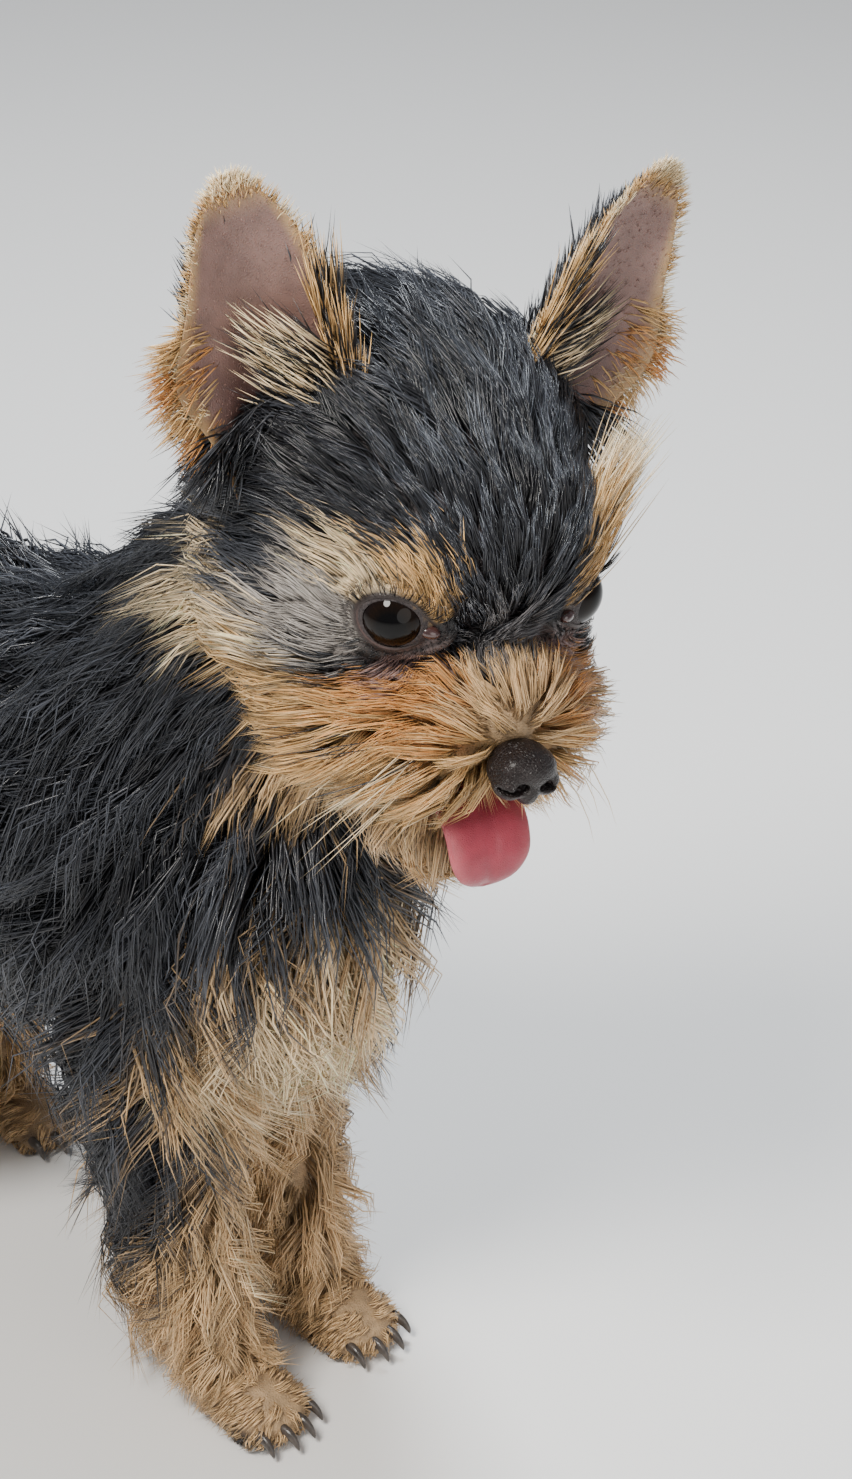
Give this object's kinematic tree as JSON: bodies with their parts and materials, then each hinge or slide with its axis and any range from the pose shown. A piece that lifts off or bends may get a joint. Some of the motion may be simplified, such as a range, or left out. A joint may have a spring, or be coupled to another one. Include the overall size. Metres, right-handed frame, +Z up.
{
  "type": "yorkshire terrier puppy model",
  "caption": "Life-size still model of a standing yorkshire terrier puppy with a long black and tan coat, erect ears and its tongue out.",
  "frame": {"origin": "on the floor, under the middle of the whole model's box", "axes": "+X the way the body faces, +Y to its left, +Z up"},
  "size_m": [0.2696, 0.1118, 0.3075],
  "materials": {
    "black_coat": "satin",
    "tan_coat": "satin",
    "ear_skin": "matte",
    "nose_leather": "satin",
    "eye_glass": "gloss",
    "tongue_pink": "satin"
  },
  "bodies": {
    "root": {"head": "black_coat", "jaw": "tan_coat", "nose": "nose_leather", "tongue": "tongue_pink", "eye_left": "eye_glass", "eye_right": "eye_glass", "ear_left": "ear_skin", "ear_right": "ear_skin", "neck": "black_coat", "torso": "black_coat", "tail": "black_coat", "foreleg_left": "tan_coat", "foreleg_right": "tan_coat", "hindleg_left": "tan_coat", "hindleg_right": "tan_coat", "forepaw_left": "tan_coat", "forepaw_right": "tan_coat", "hindpaw_left": "tan_coat", "hindpaw_right": "tan_coat"}
  },
  "joints": []
}
